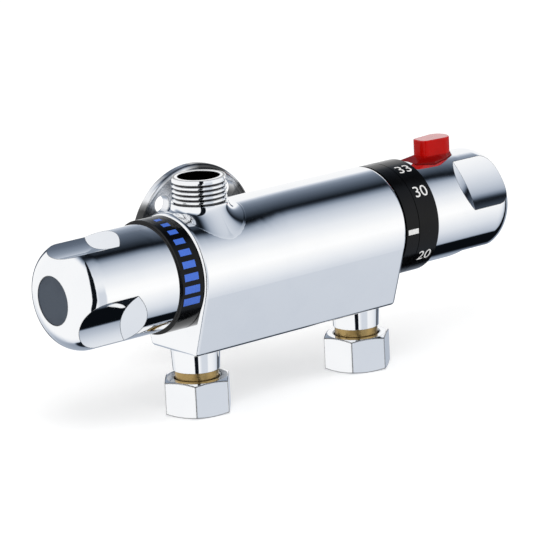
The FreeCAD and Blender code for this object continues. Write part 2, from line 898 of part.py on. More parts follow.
def sector(name, start, inner, outer, length, fromAngle, toAngle):
    """Part of a ring about the barrel axis, between two angles measured from the front over the top."""
    pie = rod(name + "Outer", outer, length, "X")
    pie.Angle = toAngle - fromAngle
    core = rod(name + "Inner", inner, length + s.cutOver * 2, "X", (-s.cutOver, 0, 0))
    piece = cut(name, pie, [core])
    # a rod along X starts its round at the bottom, which is at 270
    spin = FreeCAD.Rotation(FreeCAD.Vector(1, 0, 0), 270 - toAngle)
    piece.Placement = FreeCAD.Placement(FreeCAD.Vector(), spin)
    return moved(piece, start, 0, 0)


def temperatureFixed():
    """Index ring, gland, clip and cartridge sleeve, which stay still in the right end of the body."""
    x0 = halfBody
    ring = turned("IndexDisc", [
        (x0, glandCollar + s.slideFit),
        (x0, ringRadius),
        (x0 + s.indexWidth, ringRadius),
        (x0 + s.indexWidth, ringRadius - s.indexRim),
        (x0 + s.indexWeb, ringRadius - s.indexRim),
        (x0 + s.indexWeb, glandCollar + s.slideFit),
    ])
    halfTang = math.degrees(s.tangHalf.value / lugInner.value) + s.lugClearAngle.value
    hotEnd = s.hotStopAngle.value - halfTang
    coldEnd = s.coldStopAngle.value + halfTang
    span = s.lugSpanAngle.value
    web = x0 + s.indexWeb - s.slideFit
    lugs = [
        sector("HotLug", web, lugInner, lugOuter, s.lugReach - s.indexWeb, hotEnd - span, hotEnd),
        sector("ColdLug", web, lugInner, lugOuter, s.lugReach - s.indexWeb, coldEnd, coldEnd + span),
    ]
    onBarrel(fused("IndexShape", [ring] + lugs), "index_ring")

    bottom = x0 - s.glandDepth
    keyEnd = bottom + s.glandKeyLength
    front = x0 + s.glandCollarLength
    groove = x0 + s.indexWeb
    gland = turned("GlandTurned", [
        (bottom, s.glandKeyFlat),
        (bottom, s.glandBore - s.slideFit),
        (x0, s.glandBore - s.slideFit),
        (x0, glandCollar),
        (groove, glandCollar),
        (groove, glandCollar - s.clipReach / 2),
        (groove + s.clipWidth, glandCollar - s.clipReach / 2),
        (groove + s.clipWidth, glandCollar),
        (front, glandCollar),
        (front, s.glandShaftBore),
        (x0 + s.cutOver, s.glandShaftBore),
        (x0 + s.cutOver, s.glandFlangeBore),
        (keyEnd, s.glandFlangeBore),
        (keyEnd, s.glandKeyFlat),
    ])
    keyway = keyShape("GlandKeyway", bottom - s.cutOver, s.glandKeyLength + s.cutOver, s.glandKeyBore,
                      s.glandKeyFlat)
    onBarrel(cut("GlandShape", gland, [keyway]), "cartridge_gland")

    clip = turned("ClipRing", [
        (groove, glandCollar - s.clipReach / 2 + s.slideFit),
        (groove, glandCollar + s.clipReach),
        (groove + s.clipWidth, glandCollar + s.clipReach),
        (groove + s.clipWidth, glandCollar - s.clipReach / 2 + s.slideFit),
    ])
    gap = block("ClipGap", (groove - s.cutOver, -s.clipReach, 0),
                (groove + s.clipWidth + s.cutOver, s.clipReach, ringRadius))
    onBarrel(cut("ClipShape", clip, [gap]), "index_clip")


def keyShape(name, start, length, radius, flat):
    """Rod with two flats, along the barrel axis."""
    round_ = rod(name + "Round", radius, length, "X", (start, 0, 0))
    slab = block(name + "Slab", (start, -flat, -radius), (start + length, flat, radius))
    return common(name, round_, slab)


def thermostat():
    """Cartridge: ported sleeve, shuttle on the wax element, return spring, and the nut that sets it."""
    outer = s.sleeveBore - s.slideFit
    inner = s.sleeveBore - s.sleeveWall
    waist = outer - s.sleeveWaist
    end = halfBody - s.glandDepth
    nose = s.noseBore - s.slideFit
    half = s.waistHalfLength
    sleeve = turned("SleeveTurned", [
        (noseStart, s.mixedRadius),
        (noseStart, nose),
        (sleeveStart, nose),
        (sleeveStart, outer),
        (hotPort - half, outer),
        (hotPort - half, waist),
        (hotPort + half, waist),
        (hotPort + half, outer),
        (coldPort - half, outer),
        (coldPort - half, waist),
        (coldPort + half, waist),
        (coldPort + half, outer),
        (end, outer),
        (end, inner),
        (sleeveStart + s.seatLip, inner),
        (sleeveStart + s.seatLip, s.mixedRadius),
    ])
    ports = []
    for port, name in ((hotPort, "Hot"), (coldPort, "Cold")):
        for i, axis in enumerate("YZ"):
            at = (port, -s.sleeveBore, 0) if axis == "Y" else (port, 0, -s.sleeveBore)
            ports.append(rod(f"{name}Port{i}", s.portRadius, s.sleeveBore * 2, axis, at))
    onBarrel(cut("SleeveShape", sleeve, ports), "cartridge_sleeve")

    middle = (hotPort + coldPort) / 2
    shuttleStart = middle - s.shuttleLength / 2
    shuttleEnd = middle + s.shuttleLength / 2
    bore = inner - s.runFit
    skirt = bore - s.shuttleWall
    hub = s.elementNeck + s.slideFit
    shuttle = turned("ShuttleTurned", [
        (shuttleStart, skirt),
        (shuttleStart, bore),
        (shuttleEnd, bore),
        (shuttleEnd, skirt),
        (middle + s.shuttleWeb, skirt),
        (middle + s.shuttleWeb, hub),
        (middle, hub),
        (middle, skirt),
    ])
    holes = []
    for i in range(int(s.shuttleHoles.value)):
        angle = 2 * math.pi / s.shuttleHoles.value * i
        reach = (skirt + hub) / 2 + s.slideFit
        at = (middle - s.cutOver, reach * math.cos(angle), reach * math.sin(angle))
        holes.append(rod(f"ShuttleHole{i}", s.shuttleWall, s.shuttleWeb + s.cutOver * 2, "X", at))
    onBarrel(cut("ShuttleShape", shuttle, holes), "mixing_shuttle")

    neckEnd = middle + s.shuttleWeb + s.shuttleWeb
    pistonEnd = coldPort + s.waistHalfLength
    element = turned("ElementTurned", [
        (middle - s.elementLength, 0),
        (middle - s.elementLength, s.elementRadius),
        (middle - s.shuttleWeb, s.elementRadius),
        (middle - s.shuttleWeb, s.elementFlange),
        (middle, s.elementFlange),
        (middle, s.elementNeck),
        (neckEnd, s.elementNeck),
        (neckEnd, s.elementPiston),
        (pistonEnd, s.elementPiston),
        (pistonEnd, 0),
    ])
    onBarrel(element, "wax_element")

    springStart = sleeveStart + s.seatLip
    spring("return_spring", s.returnSpringRadius, s.returnWire, middle - springStart, s.returnTurns,
           barrelPoint(springStart), alongX)

    nutStart = pistonEnd
    nutEnd = nutStart + s.driveNutLength
    flat = s.glandKeyFlat - s.slideFit
    pocket = s.overloadRadius + s.overloadWire
    floor = end + s.slideFit
    nutBody = turned("DriveNutTurned", [
        (nutStart, s.elementPiston + s.slideFit),
        (nutStart, s.driveNutRadius),
        (nutEnd, s.driveNutRadius),
        (nutEnd, s.driveNutBore),
        (floor, s.driveNutBore),
        (floor, pocket),
        (nutStart + s.seatLip, pocket),
        (nutStart + s.seatLip, s.elementPiston + s.slideFit),
    ])
    key = block("DriveNutFlats", (nutStart, -flat, -s.driveNutRadius),
                (nutEnd, flat, s.driveNutRadius))
    onBarrel(common("DriveNutShape", nutBody, key), "drive_nut")
    spring("overload_spring", s.overloadRadius, s.overloadWire, floor - nutStart - s.seatLip,
           s.overloadTurns, barrelPoint(nutStart + s.seatLip), alongX)


def barrelPoint(x):
    return (x - s.barrelShift, -s.wallReach, s.axisRise)


def ringSeal(label, x, radius, width, reach):
    """Square-cut seal ring of the flow side, from its bore out to its reach."""
    seal = turned(label.title().replace("_", ""), [
        (x - width / 2, radius),
        (x - width / 2, reach),
        (x + width / 2, reach),
        (x + width / 2, radius),
    ])
    return onFlowSide(seal, label)


def temperatureSpindle():
    """Spindle that the temperature knob turns: screw inside, flange in the gland, two-flat drive outside."""
    bottom = halfBody - s.glandDepth
    flange = bottom + s.glandKeyLength + s.slideFit
    driveStart = temperatureKnobStart - s.hubReach
    driveEnd = driveStart + s.driveBoreDepth - s.endFit
    shape = spindleShape("TemperatureSpindle", [
        (bottom + s.cutOver, 0),
        (bottom + s.cutOver, s.spindleScrew),
        (flange, s.spindleScrew),
        (flange, s.spindleFlange),
        (flange + s.spindleFlangeLength, s.spindleFlange),
        (flange + s.spindleFlangeLength, s.spindleShaft),
    ], driveStart, driveEnd)
    onBarrel(shape, "temperature_spindle")


def spindleShape(name, inside, driveStart, driveEnd):
    """Finish a spindle with its shaft, its two-flat drive end and the hole for the knob screw."""
    hole = driveEnd - s.screwLength + s.webWidth - s.endFit
    turnedPart = turned(name + "Turned", inside + [
        (driveStart, s.spindleShaft),
        (driveStart, s.driveRadius),
        (driveEnd, s.driveRadius),
        (driveEnd, s.screwShank + s.slideFit),
        (hole, s.screwShank + s.slideFit),
        (hole, 0),
    ])
    flats = []
    for side in (-1, 1):
        low = s.driveFlat if side > 0 else -s.driveRadius - s.cutOver
        high = s.driveRadius + s.cutOver if side > 0 else -s.driveFlat
        flats.append(block(f"{name}Flat{side + 2}", (driveStart, low, -s.driveRadius - s.cutOver),
                           (driveEnd + s.cutOver, high, s.driveRadius + s.cutOver)))
    return cut(name, turnedPart, flats)


def flowCartridge():
    """Quarter-turn ceramic cartridge. Along here x runs out of the body on the flow side."""
    start = flowBoreEnd
    ringSeal("disc_seal", start + s.sealWidth / 2, s.mixedRadius, s.sealWidth, s.discRadius)
    half = s.discPortHalfAngle.value
    fixedStart = start + s.sealWidth
    fixedEnd = fixedStart + s.fixedDiscWidth
    movingEnd = fixedEnd + s.movingDiscWidth
    for label, low, width in (("fixed_disc", fixedStart, s.fixedDiscWidth),
                              ("moving_disc", fixedEnd, s.movingDiscWidth)):
        radius = s.discRadius if label == "fixed_disc" else s.discRadius - s.sideFit
        disc = rod(label.title().replace("_", ""), radius, width, "X", (low, 0, 0))
        ports = []
        for i in range(2):
            turn = 180 * i + (180 if label == "moving_disc" else 90)
            ports.append(sector(f"{label}Port{i}", low - s.cutOver, s.discPortInner, s.discPortOuter,
                                width + s.cutOver * 2, turn - half, turn + half))
        onFlowSide(cut(label + "Shape", disc, ports), label)

    outer = s.flowBore - s.slideFit
    inner = s.discRadius + s.slideFit
    end = halfBody - s.flowGlandDepth
    wallStart = end - s.housingEnd
    groove = wallStart + s.housingEnd / 2
    housing = turned("HousingTurned", [
        (start, inner),
        (start, outer),
        (groove - s.clipWidth, outer),
        (groove - s.clipWidth, outer - s.clipReach),
        (groove + s.clipWidth, outer - s.clipReach),
        (groove + s.clipWidth, outer),
        (end, outer),
        (end, s.spindleShaft + s.runFit),
        (wallStart, s.spindleShaft + s.runFit),
        (wallStart, inner),
    ])
    windowX = -outletX
    windows = [
        rod("WindowsUp", s.windowRadius, outer * 2, "Z", (windowX, 0, -outer)),
        rod("WindowsAcross", s.windowRadius, outer * 2, "Y", (windowX, -outer, 0)),
    ]
    onFlowSide(cut("HousingShape", housing, windows), "flow_housing")
    ringSeal("housing_seal", groove, outer - s.clipReach + s.slideFit, s.clipWidth * 2 - s.slideFit * 2,
             s.flowBore - s.slideFit / 2)

    gland = turned("FlowGland", [
        (end, s.spindleShaft + s.endFit),
        (end, s.flowGlandBore - s.slideFit),
        (halfBody, s.flowGlandBore - s.slideFit),
        (halfBody, glandCollar),
        (halfBody + s.indexWeb, glandCollar),
        (halfBody + s.indexWeb, s.spindleShaft + s.endFit),
    ])
    onFlowSide(gland, "flow_gland")

    driveStart = flowKnobStart - s.hubReach
    driveEnd = driveStart + s.driveBoreDepth - s.endFit
    shape = spindleShape("FlowSpindle", [
        (movingEnd, 0),
        (movingEnd, s.discRadius - s.sideFit),
        (movingEnd + s.carrierWidth, s.discRadius - s.sideFit),
        (movingEnd + s.carrierWidth, s.spindleShaft),
    ], driveStart, driveEnd)
    ports = [sector(f"CarrierPort{i}", movingEnd - s.cutOver, s.discPortInner + s.cutOver, s.discRadius,
                    s.carrierWidth + s.cutOver, 180 * i - half, 180 * i + half) for i in range(2)]
    onFlowSide(cut("FlowSpindleShape", shape, ports), "flow_spindle")


def knobShell(name, start, length):
    """Turned shell of a knob: domed tip with cap recess, skirt, spigot for its ring, and hub."""
    tip = start + length
    recess = tip - s.capRecess
    pocketEnd = start + s.driveBoreDepth - s.hubReach + s.webWidth
    return turned(name, [
        (start - s.spigotLength, hollowRadius),
        (start - s.spigotLength, spigotRadius),
        (start, spigotRadius),
        (start, knobRadius),
        (tip - s.domeRadius, knobRadius, s.domeRadius, False),
        (tip, knobRadius - s.domeRadius),
        (tip, capRadius + s.slideFit),
        (recess, capRadius + s.slideFit),
        (recess, s.screwPocket),
        (pocketEnd, s.screwPocket),
        (pocketEnd, s.screwHole),
        (start - s.hubReach, s.screwHole),
        (start - s.hubReach, s.hubRadius),
        (start + s.coreEnd, s.hubRadius),
        (start + s.coreEnd, coreRadius),
        (start + s.hollowEnd, coreRadius),
        (start + s.hollowEnd, hollowRadius),
    ])


def knobScoops(name, start, length, firstAngle):
    """Finger scoops: a shallow round trough that runs out at the tip and ends in a slanted flat."""
    tip = start + length
    flatStart = tip - s.scoopFromTip
    low = knobRadius - s.scoopDepth - s.cutOver
    high = knobRadius + s.cutOver
    scoops = []
    for i in range(int(s.scoopCount.value)):
        turn = 90 - firstAngle.value - 360 / s.scoopCount.value * i
        axis = knobRadius - s.scoopDepth + s.scoopRadius
        trough = rod(f"{name}Trough{i}", s.scoopRadius, length + s.cutOver, "X", (start, 0, axis))
        wedge = padded(f"{name}Wedge{i}", [
            (flatStart + (knobRadius - low) * s.facetSlope, low),
            (tip + s.cutOver, low),
            (tip + s.cutOver, high),
            (flatStart - s.cutOver * s.facetSlope, high),
        ], knobRadius * 2)
        scoop = common(f"{name}Scoop{i}", wedge, trough)
        scoops.append(swung(scoop, turn))
    return scoops


def knobFittings(prefix, start, length, flowSide):
    """End cap and the screw that holds the knob on its spindle."""
    tip = start + length
    capFace = tip - s.capRecess + s.capThickness
    plug = tip - s.capRecess - s.capSpigot
    spigot = s.screwPocket - s.slideFit
    cap = turned(prefix + "CapTurned", [
        (tip - s.capRecess, 0),
        (tip - s.capRecess, spigot - s.capSpigotWall),
        (plug, spigot - s.capSpigotWall),
        (plug, spigot),
        (tip - s.capRecess, spigot),
        (tip - s.capRecess, capRadius),
        (capFace, capRadius),
        (capFace, 0),
    ])
    seat = start + s.driveBoreDepth - s.hubReach + s.webWidth
    screw = turned(prefix + "ScrewTurned", [
        (seat + s.webWidth - s.screwLength, 0),
        (seat + s.webWidth - s.screwLength, s.screwShank),
        (seat, s.screwShank),
        (seat, s.screwHead),
        (seat + s.screwHeadHeight, s.screwHead),
        (seat + s.screwHeadHeight, 0),
    ])
    drive = doc.addObject("Part::Prism", prefix + "ScrewDrive")
    drive.Polygon = 6
    bind(drive, "Circumradius", s.screwHex)
    bind(drive, "Height", s.screwHeadHeight)
    drive.Placement = FreeCAD.Placement(FreeCAD.Vector(), FreeCAD.Rotation(0, 90, 0))
    moved(drive, seat + s.screwHeadHeight / 2, 0, 0)
    shape = cut(prefix + "ScrewShape", screw, [drive])
    place = onFlowSide if flowSide else onBarrel
    place(cap, prefix.lower() + "_cap")
    place(shape, prefix.lower() + "_knob_screw")


def knobRing(name, start, front, radius):
    """Black sleeve pressed on the knob's spigot, with a lip over the spigot's end."""
    spigotEnd = start - s.spigotLength
    inside = spigotRadius + s.slideFit
    return turned(name, [
        (front, hollowRadius),
        (front, radius),
        (start, radius),
        (start, inside),
        (spigotEnd, inside),
        (spigotEnd, hollowRadius),
    ])


def flowKnob():
    start, length = flowKnobStart, s.flowKnobLength
    shell = knobShell("FlowKnobShell", start, length)
    tools = knobScoops("Flow", start, length, s.flowScoopAngle)
    tools.append(driveBore("FlowDrive", start))
    onFlowSide(cut("FlowKnobShape", shell, tools), "flow_knob")
    ring = knobRing("FlowRingTurned", start, halfBody + s.endFit, flowRingRadius)
    onFlowSide(ring, "flow_ring")
    knobFittings("Flow", start, length, True)


def driveBore(name, start):
    return keyShape(name, start - s.hubReach - s.cutOver, s.driveBoreDepth + s.cutOver,
                    s.driveRadius + s.slideFit, s.driveFlat + s.slideFit)


def temperatureKnob():
    start, length = temperatureKnobStart, s.temperatureKnobLength
    shell = knobShell("TemperatureKnobShell", start, length)
    tools = knobScoops("Temperature", start, length, s.temperatureScoopAngle)
    tools.append(driveBore("TemperatureDrive", start))
    tools += buttonWindow()
    onBarrel(cut("TemperatureKnobShape", shell, tools), "temperature_knob")
    ring = knobRing("NumberRingTurned", start, halfBody + s.indexWidth + s.endFit, ringRadius)
    onBarrel(ring, "number_ring")
    knobFittings("Temperature", start, length, False)


def footOutline(grow):
    """Outline of the button's foot seen from above: blunt towards the ring, tapered towards the tip."""
    corners = [
        (buttonStart - grow, s.footEndHalf + grow),
        (buttonStart + s.footWidestFrom, s.footHalf + grow),
        (buttonStart + s.footTaperFrom, s.footTaperHalf + grow),
        (buttonStart + s.footBendFrom + grow / 2, s.footBendHalf + grow),
        (buttonStart + s.footLength + grow, s.footTipHalf + grow / 2),
    ]
    return mirrored(corners)


def mirrored(corners):
    """Closed outline from its corners on one side, given from left to right."""
    return [(x, -half) for x, half in corners] + [(x, half) for x, half in reversed(corners)]


def buttonWindow():
    """Well in the knob for the button, the wider recess that keeps it in, and the slot for its tang."""
    window = padded("ButtonWell", footOutline(s.freePlay), knobRadius, "XY_Plane", False, s.hubRadius)
    recess = padded("ButtonRecess", footOutline(s.buttonCollar + s.freePlay),
                    buttonFoot - s.hubRadius, "XY_Plane", False,
                    s.hubRadius + s.freePlay)
    half = s.tangHalf + s.freePlay
    slot = block("TangSlot", (temperatureKnobStart + s.hollowEnd - s.cutOver, -half,
                              lugInner - s.buttonTravel - s.freePlay),
                 (buttonStart, half, lugOuter + s.freePlay))
    return [window, recess, slot]


def stopButton():
    """Red thumb button: thumb piece, flared skirt, foot in the knob's well, collar and stop tang."""
    collarTop = buttonFoot
    collar = padded("ButtonCollar", footOutline(s.buttonCollar), s.buttonCollarHeight, "XY_Plane", False,
                    collarTop - s.buttonCollarHeight)
    foot = padded("ButtonFootPad", footOutline(asSize(0)), flareBottom - collarTop, "XY_Plane", False,
                  collarTop)
    flare = newBody("ButtonFlare")
    low = newSketch(flare, "XY_Plane", "FlareLow", flareBottom)
    drawOutline(low, footOutline(asSize(0)))
    high = newSketch(flare, "XY_Plane", "FlareHigh", flareTop)
    drawOutline(high, flareOutline())
    loft = flare.newObject("PartDesign::AdditiveLoft", "FlareLoft")
    loft.Profile = low
    loft.Sections = [high]
    loft.Ruled = True
    thumb = padded("ButtonThumb", thumbOutline(), thumbTop - flareBottom, "XY_Plane", False, flareBottom)
    doc.recompute()
    pad = thumb.Tip
    rounded = thumb.newObject("PartDesign::Fillet", "ThumbRound")
    rounded.Base = (pad, edgesWhere(pad.Shape, isThumbTop))
    bind(rounded, "Radius", s.thumbRound)
    thumb.Tip = rounded
    tang = block("ButtonTang", (halfBody + s.tangFromBody, -s.tangHalf, lugInner),
                 (buttonStart + s.footEndHalf, s.tangHalf, lugOuter))
    onBarrel(fused("ButtonShape", [collar, foot, flare, thumb, tang]), "stop_button")
    base = collarTop - s.buttonCollarHeight
    x = (thumbStart + thumbEnd) / 2
    spring("button_spring", s.buttonSpringRadius, s.buttonWire, base - s.hubRadius, s.buttonTurns,
           (x - s.barrelShift, -s.wallReach, s.axisRise + s.hubRadius), (0, 0, 0))


def flareOutline():
    """Top of the flare, a straight-sided outline just outside the thumb piece."""
    half = s.thumbHalf + s.flareLip
    wide = s.thumbTipHalf
    right = thumbEnd - wide
    return mirrored([
        (thumbStart - s.flareLip, half - s.thumbCorner / 2),
        (thumbStart + s.thumbCorner, half),
        (right, wide + s.flareLip),
        (right + wide * s.flareBendShare, wide * s.flareBendShare),
        (thumbEnd + s.flareLip, wide * s.flareTipShare),
    ])


def thumbOutline():
    """Thumb piece seen from above: rounded corners towards the ring, a wider round end towards the tip."""
    round_ = s.thumbCorner
    half = s.thumbHalf
    wide = s.thumbTipHalf
    right = thumbEnd - wide
    return [
        (thumbStart + round_, -half),
        (right, -wide, wide, True),
        (thumbEnd, 0, wide, True),
        (right, wide),
        (thumbStart + round_, half, round_, True),
        (thumbStart, half - round_),
        (thumbStart, round_ - half, round_, True),
    ]


def isThumbTop(edge):
    box = edge.BoundBox
    return box.ZLength < close and abs(box.ZMax - thumbTop.value) < close


valveBody()
inletPieces()
wallPieces()
temperatureFixed()
thermostat()
temperatureSpindle()
flowCartridge()
flowKnob()
temperatureKnob()
stopButton()
doc.recompute()

for item in doc.Objects:
    if "Invalid" in item.State or "Error" in item.State:
        raise ValueError(f"{item.Label} failed to rebuild")

for item in made:
    if item.Shape.isNull() or not item.Shape.isValid():
        raise ValueError(f"{item.Label} has no valid shape")

for item in made:
    item.Shape.exportStep(f"parts/{item.Label}.step")
    print(item.Label, round(item.Shape.Volume, 1), len(item.Shape.Solids))
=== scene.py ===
import json
import math

import bmesh
import bpy
import numpy as np
from mathutils import Matrix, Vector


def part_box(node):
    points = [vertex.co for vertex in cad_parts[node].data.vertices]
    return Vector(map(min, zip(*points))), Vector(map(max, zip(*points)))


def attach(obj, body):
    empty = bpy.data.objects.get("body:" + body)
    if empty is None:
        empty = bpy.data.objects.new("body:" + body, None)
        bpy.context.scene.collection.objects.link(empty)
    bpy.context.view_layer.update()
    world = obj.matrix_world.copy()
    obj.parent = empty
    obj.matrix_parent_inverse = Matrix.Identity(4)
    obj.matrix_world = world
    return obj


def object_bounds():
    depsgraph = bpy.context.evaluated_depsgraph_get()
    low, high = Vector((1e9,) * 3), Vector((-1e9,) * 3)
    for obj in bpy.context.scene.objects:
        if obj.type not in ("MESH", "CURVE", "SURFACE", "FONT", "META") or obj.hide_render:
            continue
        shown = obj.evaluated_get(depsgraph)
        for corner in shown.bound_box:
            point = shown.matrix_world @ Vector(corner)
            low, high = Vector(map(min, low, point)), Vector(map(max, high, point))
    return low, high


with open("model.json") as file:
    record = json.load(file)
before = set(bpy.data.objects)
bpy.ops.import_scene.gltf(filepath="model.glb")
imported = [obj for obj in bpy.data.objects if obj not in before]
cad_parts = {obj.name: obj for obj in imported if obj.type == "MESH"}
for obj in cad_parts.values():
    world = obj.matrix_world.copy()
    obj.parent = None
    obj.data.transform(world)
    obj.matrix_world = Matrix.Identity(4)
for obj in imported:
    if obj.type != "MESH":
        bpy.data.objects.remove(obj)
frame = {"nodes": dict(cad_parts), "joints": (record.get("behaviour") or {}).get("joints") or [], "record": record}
cadBox = [list(corner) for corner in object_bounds()]
nodes = frame["nodes"]
mm = 0.001

# the barrel axis, which every round piece on the bar is centred on
barrelAxis = np.array(next(j["pos_m"] for j in frame["joints"] if j["name"] == "temperature_turn"))
print("frame loaded:", len(nodes), "nodes")


# Shader maths: a wrapped socket, so that nodes can be written as expressions

class Wire:
    def __init__(self, tree, socket):
        self.tree = tree
        self.socket = socket

    def calc(self, operation, first, second=0.0):
        return self.tree.node("ShaderNodeMath", {"operation": operation}, {0: first, 1: second})

    def __add__(self, other):
        return self.calc("ADD", self, other)

    __radd__ = __add__

    def __mul__(self, other):
        return self.calc("MULTIPLY", self, other)

    __rmul__ = __mul__

    def __sub__(self, other):
        return self.calc("SUBTRACT", self, other)

    def __rsub__(self, other):
        return self.calc("SUBTRACT", other, self)

    def __truediv__(self, other):
        return self.calc("DIVIDE", self, other)

    def __rtruediv__(self, other):
        return self.calc("DIVIDE", other, self)

    def __pow__(self, other):
        return self.calc("POWER", self, other)

    def __rpow__(self, other):
        return self.calc("POWER", other, self)


class Finish:
    # one node tree, of a material or of the world
    def __init__(self, owner):
        owner.use_nodes = True
        self.owner = owner
        self.tree = owner.node_tree
        self.tree.nodes.clear()

    def node(self, kind, settings=None, values=None, output=0):
        made = self.tree.nodes.new(kind)
        for name, value in (settings or {}).items():
            if name == "stops":
                ramp = made.color_ramp
                while len(ramp.elements) < len(value):
                    ramp.elements.new(1.0)
                for element, (place, colour) in zip(ramp.elements, value):
                    element.position = place
                    element.color = colour
            else:
                setattr(made, name, value)
        for name, value in (values or {}).items():
            if isinstance(value, Wire):
                self.tree.links.new(value.socket, made.inputs[name])
            else:
                made.inputs[name].default_value = value
        return Wire(self, made.outputs[output])

    def objectPlace(self):
        return self.node("ShaderNodeTexCoord", output="Object")

    def parts(self, vector):
        split = self.node("ShaderNodeSeparateXYZ", {}, {0: vector}).socket.node
        return [Wire(self, socket) for socket in split.outputs]

    def noise(self, place, scale, detail=2.0, roughness=0.5):
        return self.node("ShaderNodeTexNoise", {},
                         {"Vector": place, "Scale": scale, "Detail": detail, "Roughness": roughness})

    def rings(self, along, scale):
        # fine unevenness that varies along one axis only
        return self.node("ShaderNodeTexNoise", {"noise_dimensions": "1D"},
                         {"W": along, "Scale": scale, "Detail": 2.0})

    def stretched(self, place, scale):
        return self.node("ShaderNodeMapping", {"vector_type": "POINT"}, {"Vector": place, "Scale": scale})

    def ramp(self, value, low, high, fromValue=0.0, toValue=1.0):
        # smooth step from one value to another, never past either
        return self.node("ShaderNodeMapRange", {"interpolation_type": "SMOOTHSTEP"},
                         {"Value": value, "From Min": low, "From Max": high,
                          "To Min": fromValue, "To Max": toValue})

    def steps(self, value, stepList):
        # sum of smooth steps, each given by where it starts, where it ends and its height
        return sum(self.ramp(value, low, high) * height for low, high, height in stepList)

    def within(self, value, limits):
        # one between the two middle limits, fading to nothing at the outer two
        return self.ramp(value, limits[0], limits[1]) * self.ramp(value, limits[2], limits[3], 1.0, 0.0)

    def blend(self, factor, first, second, kind="MIX"):
        return self.node("ShaderNodeMix", {"data_type": "RGBA", "blend_type": kind},
                         {0: factor, 6: first, 7: second}, output=2)

    def bump(self, height, distance, normal=None):
        values = {"Height": height, "Distance": distance}
        if normal is not None:
            values["Normal"] = normal
        return self.node("ShaderNodeBump", {}, values)

    def roundedEdges(self, radius, samples=6):
        return self.node("ShaderNodeBevel", {"samples": samples}, {"Radius": radius})

    def degrees(self, first, second):
        # angle of a direction, from 0 to 360
        share = first.calc("ARCTAN2", first, second) / (2 * math.pi)
        return share.calc("FRACT", share) * 360

    def gradient(self, angle, stops):
        # straight lines between tones that are given at angles in degrees
        return self.node("ShaderNodeValToRGB",
                         {"stops": [(place / 360, grey(tone)) for place, tone in stops]},
                         {0: angle / 360})

    def principled(self, values):
        # ends the material with one Principled surface and gives the material back
        self.surface(self.node("ShaderNodeBsdfPrincipled", {}, values))
        return self.owner

    def surface(self, shader):
        isWorld = isinstance(self.owner, bpy.types.World)
        made = self.tree.nodes.new("ShaderNodeOutputWorld" if isWorld else "ShaderNodeOutputMaterial")
        self.tree.links.new(shader.socket, made.inputs["Surface"])


def rgb(red, green, blue):
    return (red, green, blue, 1.0)


def grey(tone):
    return rgb(tone, tone, tone)


def newFinish(name):
    return Finish(bpy.data.materials.new(name))


# Finishes

chromeLook = {
    "tint": rgb(0.97, 0.975, 0.98),
    "shade": rgb(0.93, 0.94, 0.955),
    "roughness": 0.03,
    "cloudScale": 60.0,
    "cloudRange": (0.42, 0.62),
    "cloudShade": 0.35,
    "cloudHaze": 0.015,
    "wipeScale": (900.0, 300.0, 300.0),
    "wipeRange": (0.55, 0.8),
    "wipeShade": 0.2,
    "wipeHaze": 0.03,
    "wipeHeight": 0.06,
    "rippleScale": 170.0,
    "rippleHeight": 0.006 * mm,
    "edge": 0.3 * mm,
    # edgeShade is painted shade along the edges, darkening the base colour there; none by default
    "edgeShade": 0.0,
    "edgeBend": (0.004, 0.03),
    "edgeTone": 0.02,
}
neckLook = {
    "x": -34.0 * mm,
    "y": float(barrelAxis[1]),
    "groove": (9.1 * mm, 9.25 * mm, 9.6 * mm, 10.3 * mm),
    "bore": (8.0 * mm, 8.2 * mm),
    "start": (22.0 * mm, 24.0 * mm),
    # how strongly painted shade darkens the grooves and the bore
    "dirt": 0.85,
    "tone": 0.01,
}


def chromeFinish(name, look, neck=None):
    # mirror plating with faint clouds and wipe marks, a slight ripple and edges that are not quite sharp
    f = newFinish(name)
    place = f.objectPlace()
    cloud = f.ramp(f.noise(place, look["cloudScale"], 3.0), *look["cloudRange"])
    wipe = f.noise(f.stretched(place, look["wipeScale"]), 1.0, 4.0, 0.7)
    colour = f.blend(cloud * look["cloudShade"] + wipe * look["wipeShade"], look["tint"], look["shade"])
    haze = cloud * look["cloudHaze"] + f.ramp(wipe, *look["wipeRange"]) * look["wipeHaze"]
    rounded = f.roundedEdges(look["edge"]) if look["edge"] > 0 else None
    if look["edgeShade"] > 0:
        # painted shade: the base colour turns dark along the rounded edges, standing in for the dark studio that
        # they mirror
        flat = f.node("ShaderNodeNewGeometry", output="Normal")
        level = f.node("ShaderNodeVectorMath", {"operation": "DOT_PRODUCT"}, {0: rounded, 1: flat},
                       output="Value")
        wearAndEdgeShade = f.ramp(1 - level, *look["edgeBend"]) * look["edgeShade"]
        colour = f.blend(wearAndEdgeShade, colour, grey(look["edgeTone"]))
    if neck is not None:
        # painted shade: the base colour turns dark in the thread's grooves and inside the bore
        x, y, z = f.parts(place)
        across, ahead = x - neck["x"], y - neck["y"]
        away = (across * across + ahead * ahead) ** 0.5
        groove = f.within(away, neck["groove"]) + f.ramp(away, *neck["bore"], 1.0, 0.0)
        colour = f.blend(groove * f.ramp(z, *neck["start"]) * neck["dirt"], colour, grey(neck["tone"]))
    ripple = f.noise(place, look["rippleScale"], 1.0) + wipe * look["wipeHeight"]
    return f.principled({"Base Color": colour, "Metallic": 1.0, "Roughness": look["roughness"] + haze,
                         "Normal": f.bump(ripple, look["rippleHeight"], rounded)})


